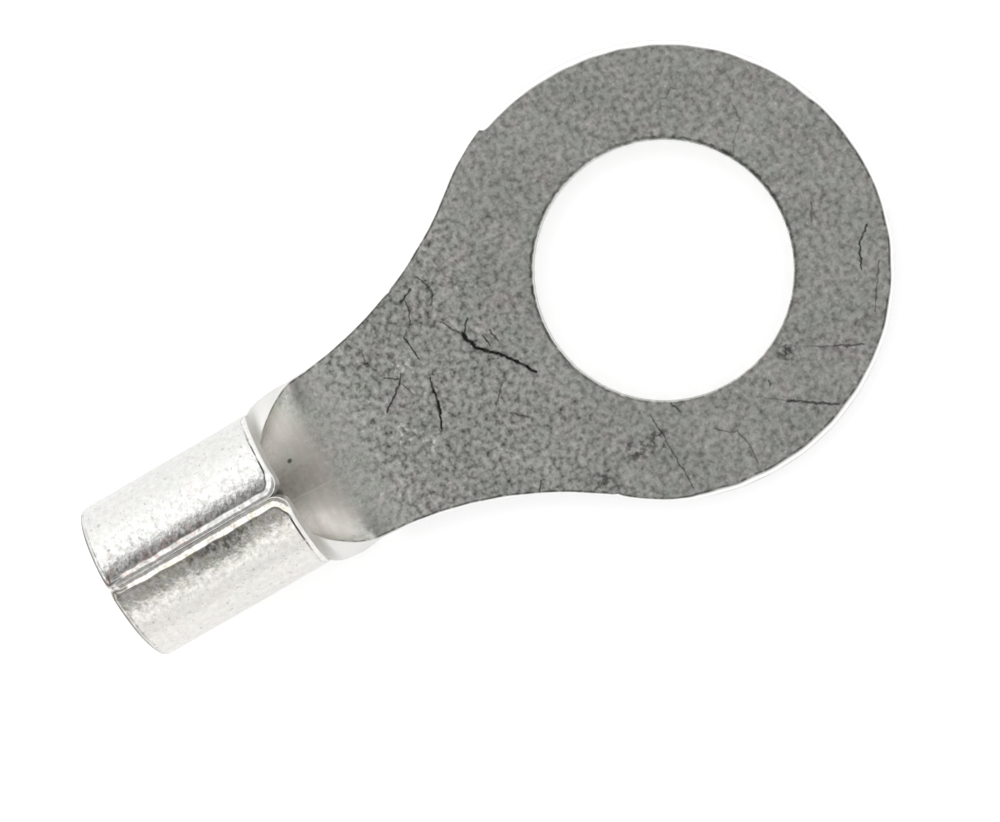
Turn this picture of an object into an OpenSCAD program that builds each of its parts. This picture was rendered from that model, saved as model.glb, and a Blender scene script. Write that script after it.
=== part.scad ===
// Bare ring terminal for a cable end: one piece of tin-plated copper sheet, blanked flat, with its wings
// rolled up into a wire barrel whose two edges butt in a seam on top.
// Lengths are in millimetres and angles in degrees. The origin is the centre of the stud hole, on the
// underside of the tongue, +Z points up, and the wire barrel lies towards -X. The sheet rests on z = 0.

/* [Sheet] */
// Thickness of the copper sheet
sheet = 1; // [0.8:0.05:1.2]
// Radius of the rounded upper edge that blanking leaves all round the outline
edge_roll = 0.17; // [0.05:0.01:0.25]

/* [Tongue] */
// Diameter of the stud hole, with clearance round an M8 stud
stud_hole_d = 8.5; // [8.2:0.1:9.5]
// Outer diameter of the ring
ring_d = 15; // [14:0.1:16]
// Width of the neck where it is narrowest
neck_w = 5.86; // [5.4:0.02:6.4]
// Radius of the hollow sides between the ring and the neck
side_r = 13.4; // [12:0.1:15]
// Step left on one side, where the cut of the neck stands outside the ring
trim_step = 0.1; // [0.04:0.02:0.2]

/* [Wire barrel] */
// Outer diameter of the barrel
barrel_d = 5.5; // [5.2:0.1:6]
// Distance from the stud hole's centre to the barrel's front edge
barrel_front = 13.9; // [13.5:0.1:15]
// Length of the barrel
barrel_l = 6.4; // [5:0.1:9]
// Length of the neck that turns from a flat sheet into the barrel's floor
bend_l = 1.6; // [1.2:0.1:2]
// Gap left between the two butted edges
seam_gap = 0.04; // [0.02:0.01:0.1]
// Radius of the rounded edges along the seam
seam_lip_r = 0.3; // [0.2:0.01:0.35]
// Radius of the wings' corners at the front of the seam
corner_r = 0.5; // [0.3:0.05:0.7]
// Radius of the hollow corners between the neck's edges and the wings' front edges
root_r = 0.45; // [0.3:0.05:0.6]

/* [Hidden] */
$fn = 128;

// A cut reaches this far past the surfaces that it opens.
past = 1;
// Two surfaces that would only touch along a line cross by this much.
bite = 0.02;
// The rolled neck reaches this far into the tongue and the barrel, this far under their surfaces.
overlap = 0.2;
under = 0.012;
ring_r = ring_d / 2;
barrel_r = barrel_d / 2;
bore_r = barrel_r - sheet;

// Both hollow sides are arcs that run into the ring. Their centres lie beside the neck at +-side_y.
side_y = neck_w / 2 + side_r;
side_x = -sqrt(pow(ring_r + side_r - bite, 2) - side_y * side_y);
// Direction, seen from the stud hole, in which the sides run into the ring.
run_in = atan2(side_y, side_x);

// The sheet's neutral line keeps its length when the neck is rolled up, which gives the angle to which
// the neck's edges reach on the finished barrel, measured from straight below its axis.
neutral_r = barrel_r - sheet / 2;
bend_start = -(barrel_front - bend_l);
barrel_x = -barrel_front;
function neck_half(x) = side_y - sqrt(side_r * side_r - pow(x - side_x, 2));
neck_angle = neck_half(barrel_x) / neutral_r * 180 / PI;
root_angle = (neck_half(barrel_x) + root_r) / neutral_r * 180 / PI;

// Faces in a quarter turn of a rounded edge, and steps along and across the rolled neck.
edge_steps = 4;
bend_steps = 12;
root_steps = 6;
cross_steps = 20;

// A quarter circle of radius r round a centre, from one angle to another.
function arc(centre, r, from, to, steps) =
    [for (i = [0:steps]) centre + r * [cos(from + (to - from) * i / steps),
                                       sin(from + (to - from) * i / steps)]];

// ---- Tongue: the ring and the flat part of the neck ----

// Half section of the ring, rounded at its upper outer edge.
module ring_section() {
    polygon(concat([[0, 0], [ring_r, 0]],
                   arc([ring_r - edge_roll, sheet - edge_roll], edge_roll, 0, 90, edge_steps),
                   [[0, sheet]]));
}

// The cutter of one hollow side. It widens at the top, which rounds the sheet's upper edge.
module side_cutter(radius) {
    rotate_extrude()
        polygon(concat([[0, -past], [radius, -past]],
                       arc([radius + edge_roll, sheet - edge_roll], edge_roll, 180, 90, edge_steps),
                       [[radius + edge_roll, sheet + past], [0, sheet + past]]));
}

// The neck before its sides are cut. On the +Y side its front corner stands outside the ring by the
// trim step, and on the -Y side it stays inside the ring.
module neck_blank() {
    step_from = run_in - 17;
    outside = ring_r + trim_step;
    linear_extrude(sheet)
        polygon([[0, 0],
                 outside * [cos(step_from), sin(step_from)],
                 outside * [cos(run_in), sin(run_in)],
                 [bend_start, side_y],
                 [bend_start, -side_y],
                 (ring_r - edge_roll - bite) * [cos(run_in), -sin(run_in)]]);
}

module tongue() {
    difference() {
        union() {
            rotate_extrude() ring_section();
            difference() {
                neck_blank();
                translate([side_x, side_y, 0]) side_cutter(side_r - trim_step);
                translate([side_x, -side_y, 0]) side_cutter(side_r);
            }
        }
        translate([0, 0, -past]) cylinder(d = stud_hole_d, h = sheet + 2 * past);
    }
}

// ---- Rolled neck: the sheet turns from flat to the barrel's curve ----

// How much the hollow corner widens the neck at x, just before the wings' front edges.
function root(x) =
    let (to_centre = min(root_r, root_r - (x - barrel_x)))
    to_centre <= 0 ? 0 : root_r - sqrt(root_r * root_r - to_centre * to_centre);

// The sheet cut across at x, before it is bent, as two rows of [distance from the middle, height]. The
// upper row bends down over the rounded edges, and each point of the lower row lies right below it.
function upper_row(x) =
    let (half = neck_half(x) + root(x), left = under - half, right = half + trim_step - under,
         centre_z = sheet - edge_roll, r = edge_roll - under, inner = right - left - 2 * r)
    concat(arc([left + r, centre_z], r, 180, 90, edge_steps),
           [for (i = [1:cross_steps - 1]) [left + r + inner * i / cross_steps, sheet - under]],
           arc([right - r, centre_z], r, 90, 0, edge_steps));
function lower_row(x) = [for (point = upper_row(x)) [point[0], under]];

// Angle to which the edge of the sheet has turned, t running from 0 where the bend starts to 1 at the
// barrel. It starts gently, as a sheet does that still holds on to the flat tongue.
function turned(t) = t <= 0 ? 0 : t >= 1 ? neck_angle : neck_angle * t * t * (2.2 - 1.2 * t);

// A point of the sheet at x, laid round a circle that touches z = 0 and keeps the neutral line's length.
function bent(x, point) =
    let (angle_here = turned((bend_start - x) / bend_l))
    angle_here == 0 ? [x, point[0], point[1]]
                    : let (neutral = neck_half(max(x, barrel_x)) / angle_here * 180 / PI,
                           radius = neutral + sheet / 2 - point[1],
                           angle = point[0] / neutral * 180 / PI)
                      [x, radius * sin(angle), neutral + sheet / 2 - radius * cos(angle)];

module rolled_neck() {
    corner_x = barrel_x + root_r;
    stations = concat([bend_start + overlap],
                      [for (i = [0:bend_steps]) bend_start + (corner_x - bend_start) * i / bend_steps],
                      [for (i = [1:root_steps]) corner_x - root_r * sin(90 * i / root_steps)],
                      [barrel_x - overlap]);
    rings = [for (x = stations) [for (point = concat(lower_row(x), upper_row(x))) bent(x, point)]];
    across = 2 * edge_steps + cross_steps;
    row = across + 1;
    ring = 2 * row;
    bands = len(stations) - 1;
    last = bands * ring;
    polyhedron(
        points = [for (points = rings) each points],
        faces = concat(
            // Underside and upper side, each patch as two triangles.
            [for (i = [0:bands - 1]) for (j = [0:across - 1])
                let (a = i * ring + j, b = a + ring) each [[a, a + 1, b], [b, a + 1, b + 1]]],
            [for (i = [0:bands - 1]) for (j = [0:across - 1])
                let (a = i * ring + row + j, b = a + ring) each [[a, b, a + 1], [b, b + 1, a + 1]]],
            // The two cut edges.
            [for (i = [0:bands - 1])
                let (a = i * ring, b = a + ring) each [[a, b, a + row], [b, b + row, a + row]]],
            [for (i = [0:bands - 1])
                let (a = i * ring + across, b = a + ring) each [[a, a + row, b], [b, a + row, b + row]]],
            // The two ends.
            [for (j = [0:across - 1]) [j, j + row, j + 1 + row, j + 1]],
            [for (j = [0:across - 1]) [last + j, last + j + 1, last + j + 1 + row, last + j + row]]),
        convexity = 6);
}

// ---- Wire barrel ----

// Turns a shape that was drawn round +Z so that it lies round the barrel's axis, its z along -X and
// its x pointing down to the floor.
module along_barrel() {
    translate([barrel_x, 0, barrel_r]) rotate([0, -90, 0]) mirror([1, 0, 0]) children();
}

// Half section of a solid barrel, with both outer edges rounded.
module barrel_section() {
    inner = barrel_r - edge_roll;
    polygon(concat([[0, 0]],
                   arc([inner, edge_roll], edge_roll, -90, 0, edge_steps),
                   arc([inner, barrel_l - edge_roll], edge_roll, 0, 90, edge_steps),
                   [[0, barrel_l]]));
}

// Fills the rounded front edge along the floor, where the neck runs into the barrel unbroken.
module floor_edge() {
    rotate([0, 0, -root_angle]) rotate_extrude(angle = 2 * root_angle)
        translate([barrel_r - edge_roll - bite, 0]) square([edge_roll + bite, edge_roll + bite]);
}

// The seam: a slit through the wall that opens between two rounded lips.
module seam() {
    lip_y = seam_lip_r + seam_gap / 2;
    lip_z = sqrt(pow(barrel_r - seam_lip_r, 2) - lip_y * lip_y) + bite;
    translate([barrel_x + past, 0, barrel_r]) rotate([0, -90, 0]) mirror([1, 0, 0])
        linear_extrude(barrel_l + 2 * past)
            polygon(concat([[-barrel_r - past, -lip_y], [-barrel_r - past, lip_y]],
                           [for (p = arc([0, 0], seam_lip_r, 0, 90, edge_steps + 2))
                               [-lip_z - p[0], lip_y - p[1]]],
                           [[0, seam_gap / 2], [0, -seam_gap / 2]],
                           [for (p = arc([0, 0], seam_lip_r, 90, 0, edge_steps + 2))
                               [-lip_z - p[0], p[1] - lip_y]]));
}

// The opening where the wings' rounded corners leave the seam at the front edge.
module seam_mouth() {
    corner = corner_r + seam_gap / 2;
    translate([barrel_x, 0, barrel_r + bore_r / 2])
        linear_extrude(barrel_r)
            polygon(concat([for (p = arc([0, 0], corner_r, 90, 0, edge_steps + 2))
                               [p[1] - corner_r, corner - p[0]]],
                           [for (p = arc([0, 0], corner_r, 0, 90, edge_steps + 2))
                               [p[1] - corner_r, p[0] - corner]],
                           [[past, -corner], [past, corner]]));
}

module wire_barrel() {
    difference() {
        along_barrel() union() {
            rotate_extrude() barrel_section();
            floor_edge();
        }
        along_barrel() translate([0, 0, -past]) cylinder(r = bore_r, h = barrel_l + 2 * past);
        seam();
        seam_mouth();
    }
}

module ring_terminal() {
    color([0.72, 0.72, 0.7]) {
        tongue();
        rolled_neck();
        wire_barrel();
    }
}

ring_terminal();
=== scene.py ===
# %% [markdown]
# # A bare ring terminal
#
# The real part is one piece of copper sheet. A die blanks it flat, with a ring at one end and two wings at
# the other, and a second tool rolls the wings up until their edges meet. The tin plate comes last.
# This lesson makes it in the same order: a flat blank, then the bend, then the finish.
#
# The packed model is loaded first. It fixes the size and the place of everything that follows.

# %% Load the frame
import bpy
import numpy as np
from mathutils import Matrix, Vector


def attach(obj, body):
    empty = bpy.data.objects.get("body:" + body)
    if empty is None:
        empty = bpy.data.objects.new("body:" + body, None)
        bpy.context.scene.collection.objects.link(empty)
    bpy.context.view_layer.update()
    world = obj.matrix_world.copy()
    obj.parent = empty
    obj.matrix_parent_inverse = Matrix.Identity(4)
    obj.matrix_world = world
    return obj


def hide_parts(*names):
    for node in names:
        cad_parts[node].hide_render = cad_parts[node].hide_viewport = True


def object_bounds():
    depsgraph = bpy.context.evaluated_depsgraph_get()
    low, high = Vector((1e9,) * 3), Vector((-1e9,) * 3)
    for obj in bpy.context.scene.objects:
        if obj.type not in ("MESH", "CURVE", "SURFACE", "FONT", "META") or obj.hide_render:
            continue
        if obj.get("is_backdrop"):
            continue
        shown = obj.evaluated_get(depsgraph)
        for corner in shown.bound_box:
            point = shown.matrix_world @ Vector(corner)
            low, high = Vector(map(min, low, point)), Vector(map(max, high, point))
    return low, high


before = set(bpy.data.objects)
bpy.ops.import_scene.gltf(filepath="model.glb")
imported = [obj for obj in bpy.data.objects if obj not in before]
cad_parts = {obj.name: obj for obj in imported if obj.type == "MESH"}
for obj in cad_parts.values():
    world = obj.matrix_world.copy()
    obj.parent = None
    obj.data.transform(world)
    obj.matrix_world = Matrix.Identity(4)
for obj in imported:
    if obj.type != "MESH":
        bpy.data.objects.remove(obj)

CAD_BOX = [list(corner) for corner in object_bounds()]
MM = 0.001
print("size of the frame in mm:", np.round((np.array(CAD_BOX[1]) - CAD_BOX[0]) / MM, 2))

# %% [markdown]
# ## The blank's sizes
#
# Lengths are in millimetres here and become metres only when a mesh is made, because numbers such as 8.5
# are easier to read than 0.0085. x runs along the terminal, q runs across the flat sheet, and h is the
# height through the sheet. q is a length measured in the sheet, so it keeps its value when the sheet bends.

# %% Sizes of the sheet
SHEET = 1.0              # thickness
HOLE_R = 4.25            # stud hole
RING_R = CAD_BOX[1][0] / MM
NECK_HALF = 2.93         # half the neck's width where it is narrowest
SIDE_R = 13.4            # hollow sides between ring and neck
TRIM = 0.1               # how far the neck's cut stands outside the ring on one side
BARREL_R = 2.746         # outside of the rolled barrel
MIDDLE_R = BARREL_R - SHEET / 2
BEND_START = -12.3       # the sheet is flat up to here
FRONT_X = -13.977        # the wings' front edge at half the barrel's height
FRONT_LEAN = 0.044       # how far it moves forward for each millimetre up
BACK_X = -20.125         # the wings' back edge, and how far it moves back
BACK_LEAN = 0.057
SEAM_GAP = 0.005

SIDE_Y = NECK_HALF + SIDE_R
SIDE_X = -np.sqrt((RING_R + SIDE_R) ** 2 - SIDE_Y ** 2)
RUN_IN = np.arctan2(SIDE_Y, SIDE_X)
WING_Q = np.pi * MIDDLE_R - SEAM_GAP / 2
print("ring radius", round(RING_R, 3), "wing reaches", round(WING_Q, 3), "mm from the middle")


# %% Lines that bound the neck and the wings
def neck_half(x, outside=0.0):
    """Half width of the neck at x: the side's centre less the height of its circle above x."""
    return SIDE_Y - np.sqrt((SIDE_R - outside) ** 2 - (x - SIDE_X) ** 2)


def barrel_height(q):
    """Height of the barrel's outside at the distance q from the middle of the sheet: R (1 - cos(q / r)),
    with the outer radius R and the middle layer's radius r."""
    return BARREL_R * (1 - np.cos(q / MIDDLE_R))


def front_x(q):
    """The wings' front edge. It leans, so that the barrel is a little longer at the seam than below."""
    return FRONT_X + FRONT_LEAN * (barrel_height(q) - BARREL_R)


def back_x(q):
    """The wings' back edge, which leans the other way."""
    return BACK_X - BACK_LEAN * (barrel_height(q) - BARREL_R)


print("barrel at the seam: from x", round(float(front_x(WING_Q)), 2), "to", round(float(back_x(WING_Q)), 2))

# %% [markdown]
# ## The outline of the blank
#
# The outline is one closed curve, walked anticlockwise. It could be drawn as a Bezier curve, but then its
# arcs would only be near to circles. So it is put together from true arcs and straight runs, each with its
# own number of points, and neighbouring patches of the mesh can share them later. Every run is an array of
# points [x, q] worked out at once from a parameter.

# %% Ring and neck
FILLET_R = 0.45          # inner corner between neck and wing
JOIN_X = float(front_x(NECK_HALF + FILLET_R))
TRIM_TURN = np.radians(111.3)    # direction of the trim step from the ring's middle
TRIM_RUN = 0.018                 # and the angle that it takes, in radians
TRIM_FADE = 1.2                  # the neck's cut runs out over this length of the rolled part


def points(x, q):
    """Points [x, q] from two lists, or from a list and one number that they all share."""
    return np.stack(np.broadcast_arrays(np.asarray(x, float), q), axis=-1)


def eased(t):
    """Rises from 0 to 1 with level ends: three t squared less two t cubed."""
    t = np.clip(t, 0, 1)
    return t * t * (3 - 2 * t)


def ring_run():
    """Neck corner to neck corner round the ring: hollow side, ring, trim step, hollow side. A hollow side
    is the arc x = X + R sin a, q = Y - R cos a, and the ring is x = R cos a, q = R sin a."""
    meet = np.arctan2(-SIDE_X, SIDE_Y)
    low = np.linspace(np.arcsin((BEND_START - SIDE_X) / SIDE_R), meet, 90)[:-1]
    high_r = SIDE_R - TRIM
    high = np.linspace(meet, np.arcsin((BEND_START - SIDE_X) / high_r), 90)[1:]
    turn = np.unique(np.concatenate([np.linspace(-RUN_IN, RUN_IN, 360),
                                     np.linspace(TRIM_TURN - 0.01, TRIM_TURN + 0.04, 14)]))
    radius = RING_R + TRIM * eased((turn - TRIM_TURN) / TRIM_RUN)
    return np.concatenate([
        points(SIDE_X + SIDE_R * np.sin(low), SIDE_R * np.cos(low) - SIDE_Y),
        points(radius * np.cos(turn), radius * np.sin(turn)),
        points(SIDE_X + high_r * np.sin(high), SIDE_Y - high_r * np.cos(high))])


def neck_run(outside):
    """One side of the neck's rolled part, which starts outside its line and fades back to it, then the
    fillet that leads into the wing's front edge: a quarter circle that turns outwards."""
    x = np.linspace(BEND_START, JOIN_X + FILLET_R, 16)
    a = np.linspace(0, np.pi / 2, 12)[1:]
    fade = outside * (1 - eased((BEND_START - x) / TRIM_FADE))
    end = neck_half(JOIN_X)
    return np.concatenate([points(x, neck_half(x) + fade),
                           points(JOIN_X + FILLET_R * (1 - np.sin(a)), end + FILLET_R * (1 - np.cos(a)))])


print("ring and its sides:", len(ring_run()), "points; neck:", len(neck_run(TRIM)))

# %% Wing and back edge
CORNER_R = 0.5           # front corner of a wing at the seam
BACK_CORNER_R = 0.24
ACROSS = 40              # patches across the neck's joints


def wing_front_run():
    """The wing's front edge, from the fillet to the rounded corner at the seam."""
    q = np.linspace(neck_half(JOIN_X) + FILLET_R, WING_Q - CORNER_R, 34)
    return points(front_x(q), q)


def front_corner_run():
    """A quarter circle from the front edge to the seam: q = end - r (1 - sin a), x = edge - r (1 - cos a)."""
    a = np.linspace(0, np.pi / 2, 12)
    q = WING_Q - CORNER_R * (1 - np.sin(a))
    return points(front_x(q) - CORNER_R * (1 - np.cos(a)), q)


def back_corner_run():
    """A corner that is nearly square: a circle whose radius is divided by (cos^5 a + sin^5 a)^(1/5)."""
    a = np.linspace(0, np.pi / 2, 12)
    r = BACK_CORNER_R / (np.cos(a) ** 5 + np.sin(a) ** 5) ** 0.2
    q = WING_Q - BACK_CORNER_R + r * np.cos(a)
    return points(back_x(q) + BACK_CORNER_R - r * np.sin(a), q)


def seam_run():
    """The edge that closes the seam: a straight line between the two corners."""
    start, end = front_corner_run()[-1], back_corner_run()[0]
    return start + (end - start) * np.linspace(0, 1, 70)[:, None]


def back_run():
    """The back edge, with a point opposite every point of the front edge."""
    reach = neck_half(JOIN_X) + FILLET_R
    wing = wing_front_run()[:, 1]
    q = np.concatenate([wing[::-1], np.linspace(reach, -reach, ACROSS + 1)[1:-1], -wing])
    q = q * (WING_Q - BACK_CORNER_R) / (WING_Q - CORNER_R)
    return points(back_x(q), q)


print("points: wing", len(wing_front_run()), "corner", len(front_corner_run()), "seam", len(seam_run()),
      "back", len(back_run()))

# %% Join the runs
MIRROR = np.array([1.0, -1.0])
runs = {"ring": ring_run()}
upper_side = {"neck": neck_run(TRIM), "wing": wing_front_run(), "corner": front_corner_run(),
              "seam": seam_run(), "back_corner": back_corner_run()}
lower_side = dict(upper_side, neck=neck_run(0.0))
for name, run in upper_side.items():
    runs[name + "+"] = run
runs["back"] = back_run()
for name in ("back_corner", "seam", "corner", "wing", "neck"):
    runs[name + "-"] = (lower_side[name] * MIRROR)[::-1]

# Each run starts where the one before it ended, so its first point is left out.
start, outline, span = 0, [], {}
for name, run in runs.items():
    outline.append(run[1:])
    span[name] = (start - 1, start + len(run) - 2)
    start += len(run) - 1
outline = np.concatenate(outline)
COUNT = len(outline)
gap = np.linalg.norm(outline - np.roll(outline, -1, axis=0), axis=1)
print("outline:", COUNT, "points,", round(gap.sum(), 1), "mm round, steps from", gap.min().round(4),
      "to", gap.max().round(3))


def along(name):
    """Indices of the outline's points that belong to a run, both ends included."""
    first, last = span[name]
    return np.arange(first, last + 1) % COUNT


# %% [markdown]
# ## Nicks, and the way inwards
#
# A handled terminal has small nicks in its cut edge. Each is a bell-shaped dip, which moves the outline's
# own points towards the ring's middle, so the mesh keeps its rows.
# The rounded edges are measured from the outline at right angles, so every point needs the direction that
# leads into the sheet. It is the mean of the directions to its two neighbours, turned by a right angle.

# %% Nicks
NICKS = (((-8.10, 3.90), 0.05, 0.07), ((-11.84, 3.05), 0.05, 0.06), ((-4.9, -5.6), 0.04, 0.1))

for middle, depth, half in NICKS:        # place in mm, depth and half width
    nearest = outline[np.linalg.norm(outline - middle, axis=1).argmin()]
    dip = depth * np.exp(-(np.linalg.norm(outline - nearest, axis=1) / half) ** 2)
    outline -= outline / np.linalg.norm(outline, axis=1)[:, None] * dip[:, None]
print("nicks:", len(NICKS))

# %% The way inwards
ahead, behind = np.roll(outline, -1, axis=0), np.roll(outline, 1, axis=0)
tangent = (ahead - outline) / np.linalg.norm(ahead - outline, axis=1)[:, None]
tangent += (outline - behind) / np.linalg.norm(outline - behind, axis=1)[:, None]
tangent /= np.linalg.norm(tangent, axis=1)[:, None]
inward = np.stack([-tangent[:, 1], tangent[:, 0]], axis=1)

# In the nearly square corners such lines would cross, so there they all point at the corner's centre.
for name, sign in (("back_corner+", 1), ("back_corner-", -1)):
    bend = along(name)
    centre = np.array([back_x(WING_Q) + BACK_CORNER_R, sign * (WING_Q - BACK_CORNER_R)])
    inward[bend] = centre - outline[bend]
    inward[bend] /= np.linalg.norm(inward[bend], axis=1)[:, None]
print("inward at the ring's far point:", inward[outline[:, 0].argmax()].round(2))

# %% [markdown]
# ## Rounded edges
#
# A punched edge isn't sharp. The die drags one face over, which leaves a soft shoulder, and breaks out of
# the other, which leaves a crisp corner. The seam's edges are pressed against each other, and the press
# flattens them into two bevels that run down to a narrow floor, where the seam closes.
#
# A Bevel modifier could round them, but with one profile for all. So each point of the outline gets a
# width and a depth for each of its two corners instead. They are given as levels for the runs and then
# smoothed along the curve, so no corner changes abruptly. A little unevenness along the length keeps the
# light on the edge from looking machined.

# %% Helpers along the outline
rng = np.random.default_rng(7)
arc_length = np.concatenate([[0], np.cumsum(gap)[:-1]])
ROUND = gap.sum()
EVEN_STEPS = 4096                # even samples of one lap, for the smoothing
NECK_REACH = 4.1                 # the ring's values hold up to this q of the wing's front edge
STEP_SPOT = RING_R * np.array([np.cos(1.955), np.sin(1.955)])    # middle of the trim step
STEP_SPOT_R = 0.35


def ripple(waves, amount):
    """Sum of sines that repeats after one lap of the outline, with random phases and heights."""
    k = np.arange(1, waves + 1)
    phase, height = rng.uniform(0, 2 * np.pi, waves), rng.normal(0, 1, waves) / np.sqrt(waves)
    return amount * (np.sin(2 * np.pi * np.outer(arc_length / ROUND, k) + phase) * height).sum(axis=1)


def smoothed(values, width):
    """Averages a closed list along the curve with a bell-shaped weight of the given width in mm. The list
    is split into waves, and each wave shrinks by exp(-2 (pi width frequency)^2)."""
    even = np.linspace(0, ROUND, EVEN_STEPS, endpoint=False)
    sampled = np.interp(even, arc_length, values, period=ROUND)
    frequency = np.fft.rfftfreq(EVEN_STEPS, ROUND / EVEN_STEPS)
    bell = np.exp(-2 * (np.pi * frequency * width) ** 2)
    return np.interp(arc_length, even, np.fft.irfft(np.fft.rfft(sampled) * bell, EVEN_STEPS), period=ROUND)


def levels(ring, wing, seam, back, step, width=0.07):
    """One value for every point of the outline. The neck keeps the ring's value up to its corner and a
    little further, so that nothing changes inside the tight hollow corner."""
    value, seam = np.full(COUNT, float(ring)), np.broadcast_to(seam, COUNT)
    for sign in "+-":
        front = along("wing" + sign)
        value[front] = np.where(np.abs(outline[front, 1]) < NECK_REACH, ring, wing)
        for name in ("corner", "seam"):
            value[along(name + sign)] = seam[along(name + sign)]
        bend = along("back_corner" + sign)
        value[bend] = np.minimum(seam, 0.8 * BACK_CORNER_R)[bend]
    value[along("back")] = back
    value[np.hypot(*(outline - STEP_SPOT).T) < STEP_SPOT_R] = step
    return smoothed(value, width)


print("one lap is", round(ROUND, 2), "mm, sampled every", round(ROUND / EVEN_STEPS, 4), "mm")

# %% Widths and depths of the corners
# How far the shear pulled the upper face over, by direction from the ring's middle in degrees. It fades
# out at the trim step and where the tongue begins.
uneven = 1 + ripple(90, 0.10)
bearing = np.degrees(np.arctan2(outline[:, 1], outline[:, 0]))
shear = np.interp(bearing, (-125, -100, -80, -60, -45, -10, 5, 40, 60, 80, 98, 110, 140),
                  (0, 0.12, 0.13, 0.10, 0.05, 0.05, 0.10, 0.12, 0.13, 0.17, 0.17, 0.08, 0.05))
on_ring = (np.abs(bearing) < 111.5) * (outline[:, 0] > -4)
shear = smoothed(smoothed(shear, 0.7) * on_ring, 0.12)

# The values are for the ring, the wing's front edge, the seam, the back edge and the trim step.
top_in = (levels(0.07, 0.06, 0.05, 0.07, 0.07) + shear) * uneven
top_down = (levels(0.07, 0.06, 0.05, 0.07, 0.07) + 0.9 * shear) * uneven
lower_half = outline[:, 1] < 0
bottom_in = levels(0.05, 0.15, np.where(lower_half, 0.27, 0.23), 0.12, 0.05) * (1 + ripple(160, 0.05))
bottom_up = levels(0.05, 0.13, 0.12, 0.11, 0.05) * (1 + ripple(60, 0.05))
bevel = levels(0.0, 0.0, 1.0, 0.0, 0.0)
for title, width in (("upper", top_in), ("lower", bottom_in)):
    print(title, "corners are from", width.min().round(3), "to", width.max().round(3), "mm wide")

# %% [markdown]
# ## The sheet as patches
#
# A grid is the simplest mesh that numpy can make: an array of points with rows and columns, where each
# square of four neighbours is a face. The sheet needs five kinds of it. The tongue is a grid that runs from
# the hole outwards, the rolled neck and the barrel are grids that run along x, and two strips go round the
# outline and round the hole. Where two patches meet they hold the same points, so they can be welded.

# %% Helpers for patches
TONGUE_ROWS = 22
patches = []             # each is (points [rows, columns, 3], flipped)


def straight(a, b, count):
    """Points on the straight line from a to b, count steps apart: a + (b - a) t."""
    return a + (b - a) * np.linspace(0, 1, count + 1)[:, None]


def between(a, b, count):
    """Straight lines from the points a to the points b, as a grid whose rows run from a to b."""
    t = np.linspace(0, 1, count + 1)[:, None, None]
    return a[None] * (1 - t) + b[None] * t


def filled(near, far, left, right):
    """A grid inside four curves: the surface ruled from near to far and the one ruled from left to right
    are added, and the flat blend of the four corners, which both of them contain, is taken away once."""
    u = np.linspace(0, 1, len(near))[None, :, None]
    v = np.linspace(0, 1, len(left))[:, None, None]
    ruled = near[None] * (1 - v) + far[None] * v + left[:, None] * (1 - u) + right[:, None] * u
    corners = (near[0] * (1 - u) + near[-1] * u) * (1 - v) + (far[0] * (1 - u) + far[-1] * u) * v
    return ruled - corners


def round_the_tongue(edge):
    """The tongue's boundary as a closed loop: the ring's run, then across the neck back to its start."""
    ring = edge[along("ring")]
    return np.concatenate([ring, straight(ring[-1], ring[0], ACROSS)[1:]])


def add_patch(flat, height, flipped):
    """Keeps a grid of points [x, q] with its height h, one number or one for each point."""
    height = np.broadcast_to(height, flat.shape[:2])
    patches.append((np.concatenate([flat, height[..., None]], axis=-1), flipped))


toward = round_the_tongue(outline)
toward = toward / np.linalg.norm(toward, axis=1)[:, None]
print("the tongue has", len(toward), "directions from the hole outwards")

# %% Upper and lower face
HOLE_TOP_R, HOLE_BOTTOM_R = 0.05, 0.04

for height, inset, hole_edge, up in ((SHEET, top_in, HOLE_TOP_R, True),
                                     (0.0, bottom_in, HOLE_BOTTOM_R, False)):
    edge = outline + inward * inset[:, None]
    add_patch(between(toward * (HOLE_R + hole_edge), round_the_tongue(edge), TONGUE_ROWS), height, not up)
    add_patch(between(edge[along("neck+")], edge[along("neck-")][::-1], ACROSS), height, up)
    front = np.concatenate([edge[along("corner-")], edge[along("wing-")][1:],
                            straight(edge[along("neck-")[0]], edge[along("neck+")[-1]], ACROSS)[1:],
                            edge[along("wing+")][1:], edge[along("corner+")][1:]])
    back = np.concatenate([edge[along("back_corner-")][::-1], edge[along("back")][::-1][1:],
                           edge[along("back_corner+")][::-1][1:]])
    add_patch(filled(front, back, edge[along("seam-")][::-1], edge[along("seam+")]), height, up)
    print("face at h =", height, "has", len(front), "columns in the barrel, and", len(back), "at its back")

# %% [markdown]
# ## The cut edge
#
# The edge is a strip that goes once round the outline, and another that goes round the hole. Its rows run
# from the upper face down to the lower one: a rounded corner, the wall, and a second rounded corner. Each
# row is the outline moved inwards and lowered by numbers of its own, so a corner can be wide in one place
# and narrow in another.


# %% Rows of the cut edge
def corner_profile(wide, deep, bevel):
    """Rows of a corner from the face to the wall, as distances from the wall and from the face. A quarter
    ellipse gives wide (1 - sin a) and deep (1 - cos a). Where bevel is 1 the rows follow a slope that
    levels out before it meets the wall."""
    a = np.array([0, 0.07, 0.18, 0.35, 0.55, 0.75, 0.9, 1.0])[:, None] * np.pi / 2
    slope_in = np.array([1, 0.95, 0.83, 0.66, 0.49, 0.37, 0.12, 0])[:, None]
    slope_down = np.array([0, 0.06, 0.27, 0.60, 0.88, 0.97, 1.0, 1.0])[:, None]
    return (wide * ((1 - bevel) * (1 - np.sin(a)) + bevel * slope_in),
            deep * ((1 - bevel) * (1 - np.cos(a)) + bevel * slope_down))


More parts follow.
